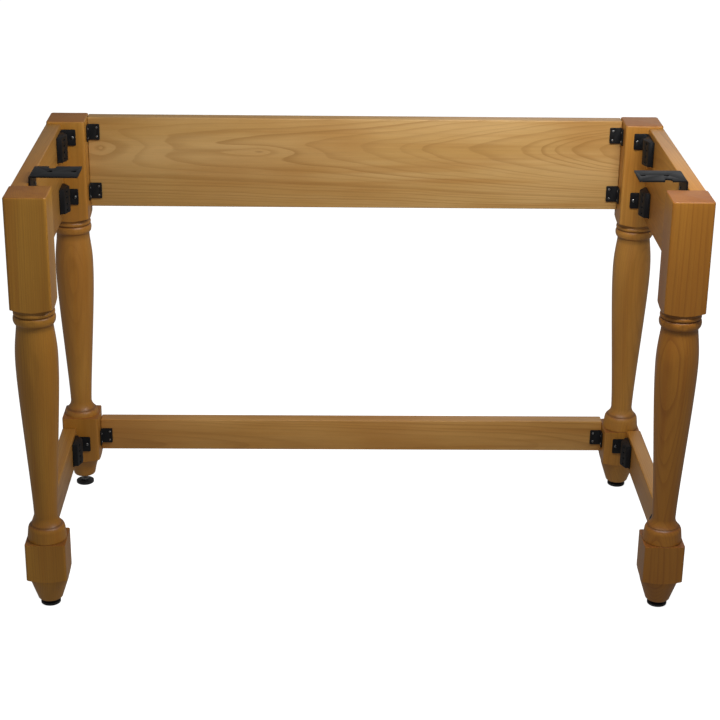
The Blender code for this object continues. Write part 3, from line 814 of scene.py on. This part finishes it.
def bar_mesh():
    """A perforated bar: thin lip, flat flank, slanted face with its row of holes, ridge and tapered heel."""
    slant_end = BAR_FRONT - BAR_SLANT
    outline = [(GAP, -BAR_BACK), (GAP, -BAR_FRONT - BAR_LIP_LENGTH), (BAR_LIP, -BAR_FRONT - BAR_LIP_LENGTH),
               (BAR_LIP, -BAR_FRONT), (BAR_FACE, -BAR_FRONT), (BAR_WIDTH, -slant_end),
               (BAR_WIDTH, -slant_end + BAR_RIDGE), (BAR_HEEL, -BAR_BACK)]
    slant = Vector((BAR_WIDTH - BAR_FACE, BAR_FRONT - slant_end, 0))
    into = Vector((-slant.y, slant.x, 0)).normalized()
    middle = Vector((BAR_FACE, -BAR_FRONT, 0)) + slant / 2
    lowest = -BAR_HOLE_PITCH * (BAR_HOLES - 1) / 2
    holes = [(middle + Vector((0, 0, lowest + i * BAR_HOLE_PITCH)), into, BAR_HOLE, 2 * BAR_HOLE_DEPTH)
             for i in range(BAR_HOLES)]
    shape = extrude_outline(outline, -BAR_HEIGHT / 2, BAR_HEIGHT / 2)
    return drilled("perforated_bar", shape, holes, BAR_EDGE)


def build_bars(black):
    mesh = bar_mesh()
    rail_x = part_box("apron_right")[0].x
    rail_end_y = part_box("leg_rear_left")[0].y
    for end, side in CORNERS:
        for node in (f"bar_apron_{side}_{end}_upper", f"bar_apron_{side}_{end}_lower",
                     f"bar_stretcher_{side}_{end}"):
            low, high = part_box(node)
            where = (SIDES[side] * rail_x, ENDS[end] * rail_end_y, (low.z + high.z) / 2)
            add_piece("perforated_" + node, mesh, black, "frame", where,
                      corner_turn(side, end), [node])


def support_mesh():
    """A loom support pressed from plate: a leaf against the board, a bend, and a holed and notched seat."""
    outer, inner = SUPPORT_BEND, SUPPORT_BEND - SUPPORT_THICK
    turn = [math.pi * (1 - i / 20) for i in range(11)]
    outer_bend = [(GAP + outer + outer * math.cos(a), -outer + outer * math.sin(a)) for a in turn]
    inner_bend = [(GAP + outer + inner * math.cos(a), -outer + inner * math.sin(a)) for a in reversed(turn)]
    section = [(GAP, -SUPPORT_LEAF)] + outer_bend + [(SUPPORT_REACH, 0), (SUPPORT_REACH, -SUPPORT_THICK)]
    section += inner_bend + [(GAP + SUPPORT_THICK, -SUPPORT_LEAF)]
    edge = SUPPORT_DEPTH / 2
    shape = extrude_outline(section, -edge, edge)
    bmesh.ops.rotate(shape, verts=shape.verts, cent=(0, 0, 0), matrix=Matrix.Rotation(math.pi / 2, 3, "X"))
    plate_z = -SUPPORT_THICK / 2
    through = 4 * SUPPORT_THICK
    drills = bmesh.new()
    for at in SUPPORT_HOLES_AT:
        cylinder(drills, (at, 0, plate_z), (0, 0, 1), SUPPORT_HOLE, through, 40)
    spread, rise = SUPPORT_LEAF_HOLES
    for y in (-spread, spread):
        cylinder(drills, (GAP + SUPPORT_THICK / 2, y, rise - SUPPORT_LEAF), (1, 0, 0), LARGE_HOLE,
                 2 * SUPPORT_THICK)
    bowl = [(NOTCH_AT + NOTCH_RADIUS * math.cos(a), edge - NOTCH_DEPTH + NOTCH_RADIUS * (1 + math.sin(a)))
            for a in np.linspace(-math.pi, 0, 21)]
    past = edge + NOTCH_RADIUS
    notch = bowl + [(NOTCH_AT + NOTCH_RADIUS, past), (NOTCH_AT - NOTCH_RADIUS, past)]
    punch = linked("notch_punch", extrude_outline(notch, plate_z - through / 2, plate_z + through / 2))
    drill = linked("support_drills", drills)
    mesh = worked("pressed_support", shape, minus(drill), minus(punch), bevel(SUPPORT_EDGE, 2))
    for tool in (drill, punch):
        bpy.data.objects.remove(tool, do_unlink=True)
    return shaded(mesh)


def build_supports(black, zinc, large_screw):
    mesh = support_mesh()
    spread, rise = SUPPORT_LEAF_HOLES
    spots = [((GAP + SUPPORT_THICK, y, rise - SUPPORT_LEAF), (1, 0, 0)) for y in (-spread, spread)]
    rail_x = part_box("apron_right")[0].x
    for seed, (side, sign) in enumerate(SIDES.items()):
        node = "support_" + side
        low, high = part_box(node)
        where = Vector((sign * rail_x, (low.y + high.y) / 2, high.z))
        turn = (0, 0, 0 if side == "left" else HALF_TURN)
        add_piece("pressed_" + node, mesh, black, "frame", where, turn, [node])
        matrix = Matrix.LocRotScale(where, Euler(turn), None)
        place_screws("screw_" + node, large_screw, spots, matrix, zinc, seed)


# ---------------------------------------------------------------- levelling feet


def threaded(shape, low, high, columns):
    """Rings of a screw thread about Z, its ends fading into plain rod. The caller joins them with faces."""
    count = int(round((high - low) / THREAD_PITCH * THREAD_STEPS))
    rings = []
    for k in range(count + 1):
        z = low + (high - low) * k / count
        fade = min(1.0, (z - low) / THREAD_PITCH, (high - z) / THREAD_PITCH)
        ring = []
        for i in range(columns):
            phase = (z / THREAD_PITCH - i / columns) % 1.0
            flank = abs(2 * phase - 1)
            radius = THREAD_RADIUS - THREAD_DEPTH * fade * min(1.0, flank * THREAD_FLANK)
            angle = math.tau * i / columns
            ring.append(shape.verts.new((radius * math.cos(angle), radius * math.sin(angle), z)))
        rings.append(ring)
    return rings


def hexagon_at(shape, z, limit, columns):
    """A ring round the collar's hexagon, its corners turned down to a limiting radius."""
    ring = []
    for i in range(columns):
        angle = math.tau * i / columns
        sector = (angle + math.pi / 6) % (math.pi / 3) - math.pi / 6
        radius = min(COLLAR_FLATS / 2 / math.cos(sector), limit)
        ring.append(shape.verts.new((radius * math.cos(angle), radius * math.sin(angle), z)))
    return ring


def stud_mesh():
    """A threaded stud with a chamfered end, a hexagonal collar and the pin that turns in the pad."""
    columns = 36
    shape = bmesh.new()
    corner, turned_down = COLLAR_FLATS / math.sqrt(3), COLLAR_FLATS / 2 + 0.0001
    rings = [ring_at(shape, PIN_RADIUS, PIN_END, columns), ring_at(shape, PIN_RADIUS, COLLAR_LOW, columns),
             hexagon_at(shape, COLLAR_LOW, turned_down, columns),
             hexagon_at(shape, COLLAR_LOW + COLLAR_CHAMFER, corner, columns),
             hexagon_at(shape, COLLAR_HIGH - COLLAR_CHAMFER, corner, columns),
             hexagon_at(shape, COLLAR_HIGH, turned_down, columns),
             ring_at(shape, THREAD_RADIUS - THREAD_DEPTH, COLLAR_HIGH, columns)]
    rings += threaded(shape, COLLAR_HIGH + COLLAR_RELIEF, STUD_TOP - STUD_CHAMFER, columns)
    rings += [ring_at(shape, THREAD_RADIUS - STUD_CHAMFER, STUD_TOP, columns)]
    for lower, upper in zip(rings, rings[1:]):
        for i in range(columns):
            j = (i + 1) % columns
            shape.faces.new((lower[i], lower[j], upper[j], upper[i]))
    shape.faces.new(list(reversed(rings[0])))
    shape.faces.new(rings[-1])
    return finished_mesh("levelling_stud", shape, 30)


def pad_mesh():
    """A moulded pad: rounded foot rim, short wall, dished cone and the socket for the stud's pin."""
    socket = PIN_RADIUS + GAP
    rim = [(PAD_RADIUS - 0.001 + 0.001 * math.sin(a), 0.001 - 0.001 * math.cos(a))
           for a in np.linspace(0, math.pi / 2, 6)]
    brow = [(PAD_RADIUS - 0.0005 + 0.0005 * math.cos(a), 0.0040 + 0.0005 * math.sin(a))
            for a in np.linspace(0, math.pi / 2, 5)]
    crown = [(0.0150, 0.0047), (0.0108, 0.0053), (0.0098, 0.0058), (0.0092, PAD_HEIGHT)]
    hole = [(socket + 0.0003, PAD_HEIGHT), (socket, PAD_HEIGHT - 0.0003), (socket, PAD_SOCKET_FLOOR)]
    profile = [(0, 0)] + rim + brow + crown + hole + [(0, PAD_SOCKET_FLOOR)]
    return spun("moulded_pad", profile, 72, 30)


def insert_mesh():
    """A threaded insert: a flange with a rounded edge and a ribbed barrel, from its lower face up."""
    bore = THREAD_RADIUS + GAP
    ribs = []
    for k in range(INSERT_RIBS):
        z = 2 * FLANGE_THICK + k * INSERT_RIB_PITCH
        ribs += [(INSERT_RADIUS - 0.0006, z), (INSERT_RADIUS, z + 0.0007), (INSERT_RADIUS, z + 0.0010)]
    profile = ([(bore + 0.0003, 0), (FLANGE_RADIUS - 0.0004, 0), (FLANGE_RADIUS, 0.0004),
                (FLANGE_RADIUS, FLANGE_THICK), (INSERT_RADIUS - 0.0006, FLANGE_THICK)] + ribs
               + [(INSERT_RADIUS - 0.0008, INSERT_LENGTH), (bore, INSERT_LENGTH), (bore, 0.0003),
                  (bore + 0.0003, 0)])
    return spun("ribbed_insert", profile, 48, 30)


def build_feet(plastic, zinc):
    pad, stud, insert = pad_mesh(), stud_mesh(), insert_mesh()
    for end, side in CORNERS:
        corner = f"{end}_{side}"
        low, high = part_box("pad_" + corner)
        x, y = (low.x + high.x) / 2, (low.y + high.y) / 2
        add_piece("moulded_pad_" + corner, pad, plastic, "pad_" + corner, (x, y, 0),
                  stands_for=["pad_" + corner])
        add_piece("levelling_stud_" + corner, stud, zinc, "stud_" + corner, (x, y, 0),
                  stands_for=["stud_" + corner])
        wood_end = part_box("insert_" + corner)[0].z
        add_piece("ribbed_insert_" + corner, insert, zinc, "frame", (x, y, wood_end),
                  stands_for=["insert_" + corner])


# ---------------------------------------------------------------- stage


def build_stage():
    """A white floor that glows a little, so it reads as a bright sweep under a dim, soft studio light."""
    bpy.ops.mesh.primitive_plane_add(size=FLOOR_SIZE)
    floor = bpy.context.object
    floor.name = "floor"
    floor.location.z = -FLOOR_DROP
    floor.visible_diffuse = False
    floor.visible_glossy = False
    g = Graph("floor")
    mottle = g.noise(g.coordinates.outputs["Object"], 3.0, 2.0)
    floor.data.materials.append(g.surface(
        Base_Color=g.mix(mottle, colour(0.60, 0.60, 0.60), colour(0.62, 0.62, 0.62)), Roughness=0.9,
        Emission_Color=colour(1, 1, 1), Emission_Strength=FLOOR_GLOW))

    world = bpy.data.worlds.new("studio")
    bpy.context.scene.world = world
    world.use_nodes = True
    background = world.node_tree.nodes["Background"]
    background.inputs["Color"].default_value = colour(1, 1, 1)
    background.inputs["Strength"].default_value = WORLD_LIGHT


def area_light(name, location, target, size, power, glossy):
    lamp = bpy.data.lights.new(name, "AREA")
    lamp.shape = "RECTANGLE"
    lamp.size, lamp.size_y = size
    lamp.energy = power
    light = bpy.data.objects.new(name, lamp)
    light.visible_camera = False
    light.visible_glossy = glossy
    light.location = location
    light.rotation_euler = (Vector(target) - Vector(location)).to_track_quat("-Z", "Y").to_euler()
    bpy.context.scene.collection.objects.link(light)


def build_lights():
    for name, setting in LIGHTS.items():
        area_light(name, *setting)


def build_camera():
    sin, cos = math.sin, math.cos
    forward = Vector((sin(CAMERA_YAW) * cos(CAMERA_PITCH), cos(CAMERA_YAW) * cos(CAMERA_PITCH),
                      -sin(CAMERA_PITCH)))
    level_right = Vector((cos(CAMERA_YAW), -sin(CAMERA_YAW), 0))
    level_up = level_right.cross(forward)
    right = cos(CAMERA_ROLL) * level_right + sin(CAMERA_ROLL) * level_up
    up = -sin(CAMERA_ROLL) * level_right + cos(CAMERA_ROLL) * level_up
    lens = bpy.data.cameras.new("camera")
    lens.sensor_width = SENSOR_WIDTH
    lens.lens = CAMERA_LENS
    camera = bpy.data.objects.new("camera", lens)
    camera.matrix_world = Matrix.Translation(CAMERA_AT) @ Matrix((right, up, -forward)).transposed().to_4x4()
    bpy.context.scene.collection.objects.link(camera)
    bpy.context.scene.camera = camera


# ---------------------------------------------------------------- build

bpy.context.scene.view_settings.view_transform = "Standard"
BLACK = black_paint("black_paint", 0.3)
ZINC = zinc_plate("zinc_plate", 1.1)
PLASTIC = black_moulding("black_moulding", 2.2)
SMALL_SCREW = screw_mesh("small_screw", *SMALL_HEAD)
LARGE_SCREW = screw_mesh("large_screw", *LARGE_HEAD)
build_stage()
build_lights()
build_camera()
build_legs()
build_boards()
build_angles(BLACK, ZINC, SMALL_SCREW, LARGE_SCREW)
build_bars(BLACK)
build_supports(BLACK, ZINC, LARGE_SCREW)
build_feet(PLASTIC, ZINC)
